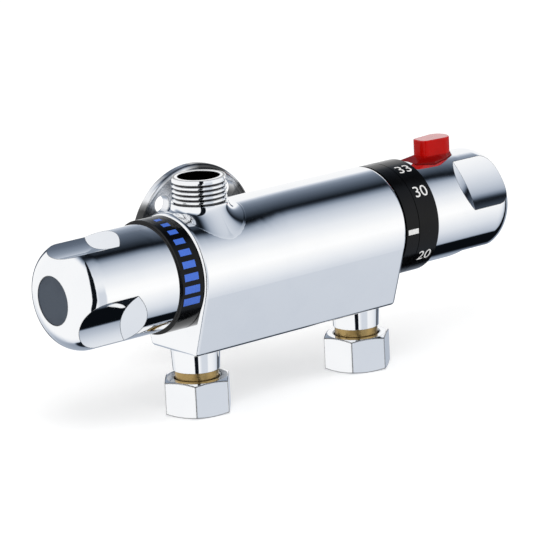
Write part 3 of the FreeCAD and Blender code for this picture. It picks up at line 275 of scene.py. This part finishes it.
plateLook = {
    "tint": rgb(0.95, 0.955, 0.96),
    "shade": rgb(0.80, 0.81, 0.83),
    "roughness": 0.07,
    "grainScale": 9000.0,
    "grainShade": 0.3,
    "grainRough": 0.08,
    "grainHeight": 0.02 * mm,
    "stainScale": 120.0,
    "stainRange": (0.35, 0.7),
    "stainShade": 0.6,
    "edge": 0.6 * mm,
    # painted reflection: the tone of the dark fans, and the listed angles in degrees with how much of the plate's
    # own colour is kept there
    "fanTone": 0.03,
    "fanWander": 6.0,
    "fans": [(0, 0.10), (28, 0.08), (37, 0.10), (43, 0.85), (51, 0.95), (58, 0.09), (67, 0.04),
             (84, 0.06), (92, 0.45), (99, 0.95), (111, 0.75), (119, 0.5), (126, 1.0), (140, 1.0),
             (145, 0.25), (149, 0.04), (170, 0.05), (190, 0.5), (215, 0.9), (240, 0.45), (262, 0.08),
             (285, 0.07), (300, 0.6), (320, 0.85), (345, 0.3)],
}


def plateFinish(name, look):
    # pressed plate with a turned grain that runs round its middle, and light and dark fans of painted reflection
    # in its colour that follow the angle round the middle
    f = newFinish(name)
    place = f.objectPlace()
    x, _, z = f.parts(place)
    grain = f.rings((x * x + z * z) ** 0.5, look["grainScale"])
    stain = f.noise(place, look["stainScale"], 4.0)
    # painted reflection: the colour is darkened in fans by the angle round the middle, wandering a little with the
    # stains
    fans = f.parts(f.gradient(f.degrees(z, x) + (stain - 0.5) * look["fanWander"], look["fans"]))[0]
    wearAndEdgeShade = f.ramp(stain, *look["stainRange"]) * look["stainShade"] + grain * look["grainShade"]
    colour = f.blend(fans, grey(look["fanTone"]), f.blend(wearAndEdgeShade, look["tint"], look["shade"]))
    return f.principled({"Base Color": colour, "Metallic": 1.0,
                         "Roughness": look["roughness"] + grain * look["grainRough"],
                         "Normal": f.bump(grain, look["grainHeight"], f.roundedEdges(look["edge"]))})


glossLook = {
    "shine": 0.5,
    "flowScale": 90.0,
    "flowRange": (0.35, 0.7),
    "flowWear": (0.4, 0.7),
    "flowRough": 0.06,
    "peelScale": 900.0,
    "peelRough": 0.04,
    "peelHeight": 0.02 * mm,
    "speck": None,
    "speckScale": 4000.0,
    "speckRange": (0.66, 0.74),
    "polish": None,
    "foot": None,
    "footShade": 0.8,
    "footTone": rgb(0.14, 0.001, 0.001),
}


def glossFinish(name, colour, shade, roughness, **own):
    # moulded plastic with a faint flow pattern and fine orange peel, and where they are given specks of another
    # colour, heights between which thumbs have polished it and heights between which painted shade on its foot
    # fades out going up
    look = {**glossLook, **own}
    f = newFinish(name)
    place = f.objectPlace()
    flow = f.noise(place, look["flowScale"], 3.0)
    peel = f.noise(place, look["peelScale"], 2.0)
    tone = f.blend(f.ramp(flow, *look["flowRange"]), colour, shade)
    if look["speck"] is not None:
        specks = f.ramp(f.noise(place, look["speckScale"], 1.0), *look["speckRange"])
        tone = f.blend(specks, tone, look["speck"])
    if look["foot"] is not None:
        # painted shade: the colour darkens towards the foot, under the thumb block
        depth = f.ramp(f.parts(place)[2], *look["foot"], look["footShade"], 0.0)
        tone = f.blend(depth, tone, look["footTone"])
    coat = 0.0 if look["polish"] is None else f.ramp(f.parts(place)[2], *look["polish"])
    rough = roughness + f.ramp(flow, *look["flowWear"]) * look["flowRough"] + peel * look["peelRough"]
    return f.principled({"Base Color": tone, "Roughness": rough, "Coat Weight": coat,
                         "Specular IOR Level": look["shine"], "Normal": f.bump(peel, look["peelHeight"])})


turnedLook = {
    "ringScale": 9000.0,
    "ringRough": 0.08,
    "ringHeight": 0.01 * mm,
    "stainScale": 160.0,
    "stainRange": (0.35, 0.7),
    "wearRange": (0.4, 0.7),
    "wearRough": 0.12,
}


def turnedFinish(name, colour, shade, axis, roughness=0.22):
    # metal turned on a lathe: fine rings round the given axis
    look = turnedLook
    f = newFinish(name)
    place = f.objectPlace()
    rings = f.rings(f.parts(place)["XYZ".index(axis)], look["ringScale"])
    stain = f.noise(place, look["stainScale"], 4.0)
    rough = roughness + f.ramp(stain, *look["wearRange"]) * look["wearRough"] + rings * look["ringRough"]
    return f.principled({"Base Color": f.blend(f.ramp(stain, *look["stainRange"]), colour, shade),
                         "Metallic": 1.0, "Roughness": rough, "Normal": f.bump(rings, look["ringHeight"])})


buttonTop = float(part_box("stop_button")[1][2])
finishes = {
    "cast_chrome": chromeFinish("castChrome", chromeLook),
    "knob_chrome": chromeFinish("knobChrome", {**chromeLook, "edge": 0.4 * mm, "edgeShade": 0.85}),
    "ring_black": glossFinish("ringBlack", rgb(0.002, 0.0022, 0.0025), rgb(0.004, 0.0042, 0.0048), 0.09,
                              shine=0.17),
    "button_red": glossFinish("buttonRed", rgb(0.58, 0.004, 0.002), rgb(0.48, 0.003, 0.002), 0.16, shine=0.12,
                              polish=(buttonTop - 0.4 * mm, buttonTop - 0.1 * mm),
                              foot=(buttonTop - 7.0 * mm, buttonTop - 5.9 * mm)),
    "cap_grey": glossFinish("capGrey", rgb(0.062, 0.080, 0.108), rgb(0.052, 0.067, 0.092), 0.38,
                            speck=rgb(0.08, 0.095, 0.12), shine=0.2),
    "tail_brass": turnedFinish("tailBrass", rgb(0.46, 0.32, 0.13), rgb(0.30, 0.20, 0.075), "Z"),
    "spindle_brass": turnedFinish("spindleBrass", rgb(0.64, 0.44, 0.20), rgb(0.50, 0.33, 0.13), "X"),
    "steel": turnedFinish("steel", rgb(0.60, 0.61, 0.63), rgb(0.46, 0.47, 0.50), "X", 0.3),
    "seal_black": glossFinish("sealBlack", grey(0.012), grey(0.02), 0.7),
    "washer_fibre": glossFinish("washerFibre", grey(0.03), grey(0.05), 0.75),
    "disc_white": glossFinish("discWhite", rgb(0.83, 0.82, 0.77), rgb(0.78, 0.77, 0.72), 0.3),
    "valve_white": glossFinish("valveWhite", rgb(0.80, 0.80, 0.77), rgb(0.74, 0.74, 0.71), 0.45),
    "cartridge_grey": glossFinish("cartridgeGrey", rgb(0.28, 0.29, 0.31), rgb(0.23, 0.24, 0.26), 0.4),
    "wax_copper": turnedFinish("waxCopper", rgb(0.66, 0.34, 0.18), rgb(0.50, 0.24, 0.12), "X"),
}
slotOf = {entry["node"]: entry["material_slot"] for entry in frame["record"]["subparts"]}
nutChrome = chromeFinish("nutChrome", {**chromeLook, "edge": 0.8 * mm, "edgeShade": 0.95})
ownFinish = {
    "wall_plate": plateFinish("wallPlate", plateLook),
    "valve_body": chromeFinish("bodyChrome", chromeLook, neckLook),
    "inlet_nut_left": nutChrome,
    "inlet_nut_right": nutChrome,
}
for name, item in nodes.items():
    item.data.materials.clear()
    item.data.materials.append(ownFinish.get(name, finishes[slotOf[name]]))
print("finishes on", len(nodes), "nodes")


# Print on the rings: thin raised ink that follows the ring's round face

ink = {
    "lift": 0.05 * mm,
    "sink": 0.03 * mm,
    "white": rgb(0.86, 0.86, 0.85),
    "whiteRoughness": 0.35,
    "blue": rgb(0.045, 0.155, 0.68),
    "blueRoughness": 0.28,
    "filmScale": 700.0,
    "filmRange": (0.3, 0.75),
    "filmShade": 0.3,
    "filmRough": 0.1,
    "filmHeight": 0.01 * mm,
    "thinTone": 0.72,
}


def onRing(along, angle, radius):
    # x runs along the bar; the angle turns from the front of the barrel over its top, so that y goes back
    # from the axis by minus its cosine and z rises by its sine, both times the radius
    return np.stack([barrelAxis[0] + along, barrelAxis[1] - radius * np.cos(angle),
                     barrelAxis[2] + radius * np.sin(angle)], axis=-1)


def ringRadius(box):
    low, high = box
    return (high.z - low.z) / 2


def meshObject(name, points, faces):
    mesh = bpy.data.meshes.new(name)
    mesh.from_pydata([tuple(p) for p in points.reshape(-1, 3)], [], faces)
    mesh.validate()
    item = bpy.data.objects.new(name, mesh)
    bpy.context.scene.collection.objects.link(item)
    return item


def fixNormals(item, weld=1e-8):
    work = bmesh.new()
    work.from_mesh(item.data)
    bmesh.ops.remove_doubles(work, verts=work.verts, dist=weld)
    bmesh.ops.recalc_face_normals(work, faces=work.faces)
    work.to_mesh(item.data)
    work.free()


def inkPatch(name, low, high, fromAngle, toAngle, radius, steps=12):
    # a slab between two radii: x runs straight from low to high, the angle from one end to the other
    angles = np.radians(np.linspace(fromAngle, toAngle, steps))
    inner, outer = radius - ink["sink"], radius + ink["lift"]
    corners = ((low, inner), (low, outer), (high, outer), (high, inner))
    points = np.stack([onRing(np.full(steps, x), angles, r) for x, r in corners], axis=1)
    section = np.arange(4)
    here = np.arange(steps - 1)[:, None] * 4 + section
    after = np.arange(steps - 1)[:, None] * 4 + (section + 1) % 4
    sides = np.stack([here, here + 4, after + 4, after], axis=-1).reshape(-1, 4).tolist()
    last = (steps - 1) * 4
    item = meshObject(name, points, sides + [(0, 1, 2, 3), (last + 3, last + 2, last + 1, last)])
    fixNormals(item)
    return item


def inkFinish(name, colour, roughness):
    # a film of ink that is thinner and darker in places
    f = newFinish(name)
    film = f.noise(f.objectPlace(), ink["filmScale"], 3.0)
    thin = rgb(*(ink["thinTone"] * c for c in colour[:3]))
    tone = f.blend(f.ramp(film, *ink["filmRange"]) * ink["filmShade"], colour, thin)
    return f.principled({"Base Color": tone, "Roughness": roughness + film * ink["filmRough"],
                         "Normal": f.bump(film, ink["filmHeight"])})


whiteInk = inkFinish("whiteInk", ink["white"], ink["whiteRoughness"])
blueInk = inkFinish("blueInk", ink["blue"], ink["blueRoughness"])

flowBars = {
    "count": 9,
    "firstAngle": -16.9,
    "step": 12.45,
    "centre": -55.6 * mm,
    "longest": 7.6 * mm,
    "shortest": 2.8 * mm,
    "widest": 7.9,
    "narrowest": 5.2,
}


def addFlowBars():
    # from bar to bar the length and the width in degrees go evenly from the largest to the smallest
    radius = ringRadius(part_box("flow_ring"))
    for i in range(flowBars["count"]):
        share = i / (flowBars["count"] - 1)
        angle = flowBars["firstAngle"] + flowBars["step"] * i
        half = (flowBars["widest"] + (flowBars["narrowest"] - flowBars["widest"]) * share) / 2
        reach = (flowBars["longest"] + (flowBars["shortest"] - flowBars["longest"]) * share) / 2
        bar = inkPatch(f"flow_bar_{i + 1}", flowBars["centre"] - reach, flowBars["centre"] + reach,
                       angle - half, angle + half, radius)
        bar.data.materials.append(blueInk)
        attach(bar, "flow_knob")


addFlowBars()

indexMark = {
    "low": 50.7 * mm,
    "high": 55.9 * mm,
    "fromAngle": -5.0,
    "toAngle": 0.3,
}


def addIndexMark():
    radius = ringRadius(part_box("index_ring"))
    mark = inkPatch("index_mark", indexMark["low"], indexMark["high"], indexMark["fromAngle"],
                    indexMark["toAngle"], radius)
    mark.data.materials.append(whiteInk)
    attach(mark, "body")


addIndexMark()

scale = {
    "numbers": {"20": -33.0, "30": 36.5, "33": 68.0, "40": 118.0, "45": 150.0},
    "centre": 61.4 * mm,
    "height": 4.6 * mm,
    "width": 6.4 * mm,
    "smoothness": 6,
    "cut": 0.35 * mm,
}


def vertexPlaces(mesh):
    points = np.empty(len(mesh.vertices) * 3)
    mesh.vertices.foreach_get("co", points)
    return points.reshape(-1, 3)


def flatFigures(text):
    # figures in x and y, centred and fitted to the width and height, with cuts across that let them bend
    curve = bpy.data.curves.new("figures", "FONT")
    curve.body = text
    curve.resolution_u = scale["smoothness"]
    curve.extrude = 0.02  # any thickness does, as it only parts the top from the underside
    flat = bpy.data.objects.new("figures", curve)
    bpy.context.scene.collection.objects.link(flat)
    bpy.context.view_layer.update()
    mesh = bpy.data.meshes.new_from_object(flat)
    bpy.data.objects.remove(flat)
    points = vertexPlaces(mesh)
    low, high = points.min(0), points.max(0)
    size = np.array([scale["width"], scale["height"]]) / (high - low)[:2]
    points[:, :2] = (points[:, :2] - (low + high)[:2] / 2) * size
    mesh.vertices.foreach_set("co", points.ravel())
    work = bmesh.new()
    work.from_mesh(mesh)
    for place in np.arange(-scale["height"] / 2, scale["height"] / 2, scale["cut"]):
        everything = work.verts[:] + work.edges[:] + work.faces[:]
        bmesh.ops.bisect_plane(work, geom=everything, plane_co=(0, place, 0), plane_no=(0, 1, 0))
    work.to_mesh(mesh)
    work.free()
    return mesh


def addNumber(text, angle, radius):
    # x stays along the bar, and y divided by the radius is added to the number's angle on the ring
    mesh = flatFigures(text)
    x, y, z = vertexPlaces(mesh).T
    depth = np.where(z > 0, ink["lift"], -ink["sink"])
    rolled = onRing(scale["centre"] + x, math.radians(angle) + y / radius, radius + depth)
    mesh.vertices.foreach_set("co", rolled.ravel())
    item = bpy.data.objects.new("number_" + text, mesh)
    bpy.context.scene.collection.objects.link(item)
    fixNormals(item)
    item.data.materials.clear()
    item.data.materials.append(whiteInk)
    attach(item, "temperature_knob")


def addNumbers():
    radius = ringRadius(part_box("number_ring"))
    for text, angle in scale["numbers"].items():
        addNumber(text, angle, radius)


addNumbers()
print("print on the rings done")


# The casting swells broadly from the outlet's neck into the front of the barrel

neckFlare = {
    "barrel": 22.5 * mm,
    "neck": 11.0 * mm,
    "top": 24.4 * mm,
    "reach": 2.0 * mm,
    "frontReach": 5.4 * mm,
    "proud": 0.015 * mm,
    "overlap": 0.8 * mm,
    "tuck": 0.06 * mm,
    "sink": 0.5 * mm,
    "around": 128,
    "steps": 24,
}


def addNeckFlare():
    # for each direction round the neck, a quadratic curve leaves the neck upright and meets the barrel's
    # circle along its tangent, dips just under it, and the profile is then closed inside the wall
    look = neckFlare
    angle = np.linspace(0, 2 * math.pi, look["around"], endpoint=False)
    across, ahead = np.cos(angle), np.sin(angle)
    reach = look["reach"] + look["frontReach"] * np.clip(-ahead, 0, 1)
    barrel, neck = look["barrel"] + look["proud"], look["neck"] + look["proud"]
    foot = (neck + reach) * ahead
    footRise = np.sqrt(barrel * barrel - foot * foot)
    corner = footRise + foot / footRise * ahead * reach
    share = np.linspace(0, 1, look["steps"])[:, None]
    out = neck + reach * share ** 2
    rise = (1 - share) ** 2 * look["top"] + 2 * share * (1 - share) * corner + share ** 2 * footRise
    tail = neck + reach + look["overlap"]
    tailRise = np.sqrt((look["barrel"] - look["tuck"]) ** 2 - (tail * ahead) ** 2)
    inner = np.full(look["around"], look["neck"] - look["sink"])
    under = tailRise - look["sink"]
    out = np.vstack([out, tail, tail, inner, inner])
    rise = np.vstack([rise, tailRise, under, under, np.full(look["around"], look["top"])])
    points = np.stack([neckLook["x"] + out * across, barrelAxis[1] + out * ahead, barrelAxis[2] + rise],
                      axis=-1)
    rows, count = out.shape
    here = np.arange(rows)[:, None] * count + np.arange(count)
    right = np.roll(here, -1, axis=1)
    corners = np.stack([here, right, np.roll(right, -1, axis=0), np.roll(here, -1, axis=0)], axis=-1)
    item = meshObject("neck_flare", points, corners.reshape(-1, 4).tolist())
    fixNormals(item)
    # smooth where it shows, flat where it is sunk in the wall
    item.data.polygons.foreach_set("use_smooth", np.repeat(np.arange(rows) < look["steps"], count))
    item.data.materials.append(chromeFinish("flareChrome", {**chromeLook, "edge": 0}))
    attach(item, "body")


addNeckFlare()
print("flare at the neck done")


# Floor, studio and camera

studio = {
    "floorSize": 12.0,
    "floorPaint": rgb(0.93, 0.93, 0.93),
    "floorDust": rgb(0.9, 0.9, 0.9),
    "dustScale": 3.0,
    "dustShade": 0.1,
    "floorLift": 0.31,
    "diffuseSky": 0.72,
    "glossySky": 1.0,
    "white": rgb(1.0, 1.0, 1.0),
    "dimTint": rgb(0.72, 1.0, 1.46),
    "dimFade": 0.6,
}


def makeFloor():
    level = cadBox[0][2]
    half = studio["floorSize"]
    points = np.array([[-half, -half, level], [half, -half, level],
                       [half, half, level], [-half, half, level]])
    floor = meshObject("floor", points, [(0, 1, 2, 3)])
    f = newFinish("paleFloor")
    camera = f.node("ShaderNodeLightPath", output="Is Camera Ray")
    dust = f.noise(f.objectPlace(), studio["dustScale"], 2.0)
    paint = f.blend(dust * studio["dustShade"], studio["floorPaint"], studio["floorDust"])
    matte = f.node("ShaderNodeBsdfDiffuse", {}, {"Color": paint})
    lift = f.node("ShaderNodeEmission", {},
                  {"Color": studio["white"], "Strength": camera * studio["floorLift"]})
    f.surface(f.node("ShaderNodeAddShader", {}, {0: matte, 1: lift}))
    floor.data.materials.append(f.owner)
    floor.visible_glossy = False


# What polished metal sees: a tube of light round the long axis of the valve. Angles run round that axis in
# degrees, from the back (0) over the top (90) and the front (180) to below (270); a reach is how far a
# direction leans towards the right end. Shifts are steps along the reach that turn the tones, in degrees.
tube = {
    "rear": [(0, 0.98), (36, 0.95), (43, 0.60), (48, 0.37), (57, 0.22), (69, 0.13), (81, 0.062),
             (91, 0.012), (97, 0.005), (98, 0.0)],
    "rearShifts": [(0.565, 0.578, -3.0), (0.600, 0.615, 4.0), (0.648, 0.656, -9.0)],
    "rearSpan": (20.0, 35.0),
    "rearLeft": [(0, 0.62), (9, 0.57), (27, 0.31), (45, 0.155), (69, 0.08), (90, 0.01), (98, 0.0)],
    "leftReach": (0.15, 0.25, 0.578, 0.583),
    "front": [(93, 0.0), (96, 0.012), (99, 0.055), (105, 0.23), (112, 0.43), (123, 0.60), (147, 0.85),
              (172, 1.0), (186, 1.03), (207, 0.90), (225, 0.77), (249, 0.52), (256, 0.41), (258, 0.004),
              (293, 0.004), (299, 0.13), (306, 0.33), (330, 0.44), (352, 0.97)],
    "frontShifts": [(0.576, 0.586, 4.0), (0.588, 0.597, 4.0), (0.603, 0.613, -10.0), (0.640, 0.645, 2.0)],
    "frontSpan": (120.0, 150.0),
    "topShifts": [(0.646, 0.655, 8.0)],
    "topSpan": (98.0, 118.0),
    "lowerReach": (0.60, 0.64),
    "lowerShift": 5.0,
    "lowerSpan": (230.0, 245.0),
    "endReach": (-0.45, -0.05),
    "endTone": 0.96,
    "underReach": (-0.23, -0.16),
    "underSpan": (225.0, 240.0, 300.0, 320.0),
    "underTone": 0.62,
    "groundHeight": (-0.90, -0.85),
    "groundTone": 0.01,
}
# an upright dark slot behind the camera, and grey screens that flank the view
darkSlot = {
    "azimuth": 207.0,
    "half": 8.5,
    "soft": 1.5,
    "lowerTurn": 9.0,
    "lowerHeight": (-0.4, 0.0),
    "reach": (-0.80, -0.66, 0.97, 0.995),
    "tone": 0.006,
}
screens = {
    "front": {"azimuth": (155, 164, 186, 206), "height": (-0.60, -0.42, 0.1, 0.5), "tone": 0.69},
    "leftEdge": {"azimuth": (10, 15, 28, 32), "height": (-0.52, -0.42, 0.25, 0.35), "tone": 0.06},
    "rightEdge": {"azimuth": (60, 62, 66, 69), "height": (-0.35, -0.25, 0.2, 0.3), "tone": 0.06},
}


def tubeTone(f, x, z, around):
    # the dark edge overhead and the tones beside it wander a little from one end to the other
    wander = f.steps(x, tube["frontShifts"]) * f.ramp(around, *tube["frontSpan"], 1.0, 0.0)
    wander = wander + f.steps(x, tube["topShifts"]) * f.ramp(around, *tube["topSpan"], 1.0, 0.0)
    lower = f.ramp(x, *tube["lowerReach"], tube["lowerShift"], 0.0)
    wander = wander - lower * f.ramp(around, *tube["lowerSpan"])
    front = f.gradient(around - wander, tube["front"])
    rise = f.steps(x, tube["rearShifts"]) * f.ramp(around, *tube["rearSpan"])
    rear = f.gradient(around + rise, tube["rear"])
    rear = f.blend(f.within(x, tube["leftReach"]), rear, f.gradient(around, tube["rearLeft"]))
    tone = f.blend(1.0, rear, front, "ADD")
    # the tube opens towards the left end, first below and then above
    under = f.ramp(x, *tube["underReach"], 1.0, 0.0) * f.within(around, tube["underSpan"])
    tone = f.blend(under, tone, grey(tube["underTone"]))
    tone = f.blend(f.ramp(x, *tube["endReach"], 1.0, 0.0), tone, grey(tube["endTone"]))
    ground = f.ramp(z, *tube["groundHeight"], 1.0, 0.0) * f.ramp(x, *tube["underReach"])
    return f.blend(ground, tone, grey(tube["groundTone"]))


def makeWorld():
    world = bpy.data.worlds.new("studio")
    bpy.context.scene.world = world
    f = Finish(world)
    x, y, z = f.parts(f.node("ShaderNodeTexCoord", output="Generated"))
    tone = tubeTone(f, x, z, f.degrees(z, y))
    azimuth = f.degrees(x, y)
    for screen in screens.values():
        cover = f.within(azimuth, screen["azimuth"]) * f.within(z, screen["height"])
        tone = f.blend(cover, tone, grey(screen["tone"]))
    half, soft = darkSlot["half"], darkSlot["soft"]
    turned = azimuth - darkSlot["azimuth"] - f.ramp(z, *darkSlot["lowerHeight"], darkSlot["lowerTurn"], 0.0)
    dark = f.within(turned, (-half - soft, -half, half, half + soft)) * f.within(z, darkSlot["reach"])
    tone = f.blend(dark, tone, grey(darkSlot["tone"]))
    # the dimmer the light, the cooler it is
    cool = f.blend(f.parts(tone)[1] ** studio["dimFade"], studio["dimTint"], studio["white"])
    tone = f.blend(1.0, tone, cool, "MULTIPLY")
    glossy = f.node("ShaderNodeLightPath", output="Is Glossy Ray")
    camera = f.node("ShaderNodeLightPath", output="Is Camera Ray")
    strength = camera * (1 - studio["diffuseSky"]) + studio["diffuseSky"]
    plain = f.node("ShaderNodeBackground", {}, {"Color": studio["white"], "Strength": strength})
    mirrored = f.node("ShaderNodeBackground", {}, {"Color": tone, "Strength": studio["glossySky"]})
    f.surface(f.node("ShaderNodeMixShader", {}, {0: glossy, 1: plain, 2: mirrored}))


lampTarget = np.array([0.0, -0.05, 0.0])
lamps = {
    "key": {"place": (-0.5, -0.7, 1.1), "size": 0.7, "power": 4.0},
    "fill": {"place": (0.9, -0.8, 0.7), "size": 0.9, "power": 2.0},
}


def lookFrom(place, forward, roll=0.0):
    # matrix of something that looks along its own -Z, upright unless it is rolled
    forward = forward / np.linalg.norm(forward)
    right = np.cross(forward, (0, 0, 1))
    right /= np.linalg.norm(right)
    up = np.cross(right, forward)
    matrix = np.eye(4)
    matrix[:3, 0] = math.cos(roll) * right + math.sin(roll) * up
    matrix[:3, 1] = -math.sin(roll) * right + math.cos(roll) * up
    matrix[:3, 2] = -forward
    matrix[:3, 3] = place
    return Matrix(matrix.tolist())


def makeLamps():
    for name, lamp in lamps.items():
        light = bpy.data.lights.new(name, "AREA")
        light.shape = "DISK"
        light.size = lamp["size"]
        light.energy = lamp["power"]
        item = bpy.data.objects.new(name, light)
        bpy.context.scene.collection.objects.link(item)
        place = np.array(lamp["place"])
        item.matrix_world = lookFrom(place, lampTarget - place)
        item.visible_glossy = False


cameraView = {
    "place": (-781.0 * mm, -1023.5 * mm, 316.9 * mm),
    "azimuth": 38.64,
    "elevation": 14.42,
    "roll": -2.91,
    "lens": 226.37,
    "sensor": 36.0,
    "farthest": 100.0,
}


def makeCamera():
    data = bpy.data.cameras.new("camera")
    data.lens = cameraView["lens"]
    data.sensor_width = cameraView["sensor"]
    data.clip_end = cameraView["farthest"]
    item = bpy.data.objects.new("camera", data)
    bpy.context.scene.collection.objects.link(item)
    azimuth, elevation = math.radians(cameraView["azimuth"]), math.radians(cameraView["elevation"])
    forward = np.array([math.sin(azimuth) * math.cos(elevation), math.cos(azimuth) * math.cos(elevation),
                        -math.sin(elevation)])
    item.matrix_world = lookFrom(np.array(cameraView["place"]), forward, math.radians(cameraView["roll"]))
    bpy.context.scene.camera = item


makeFloor()
makeWorld()
makeLamps()
makeCamera()
bpy.context.scene.view_settings.view_transform = "Standard"
print("studio and camera done")
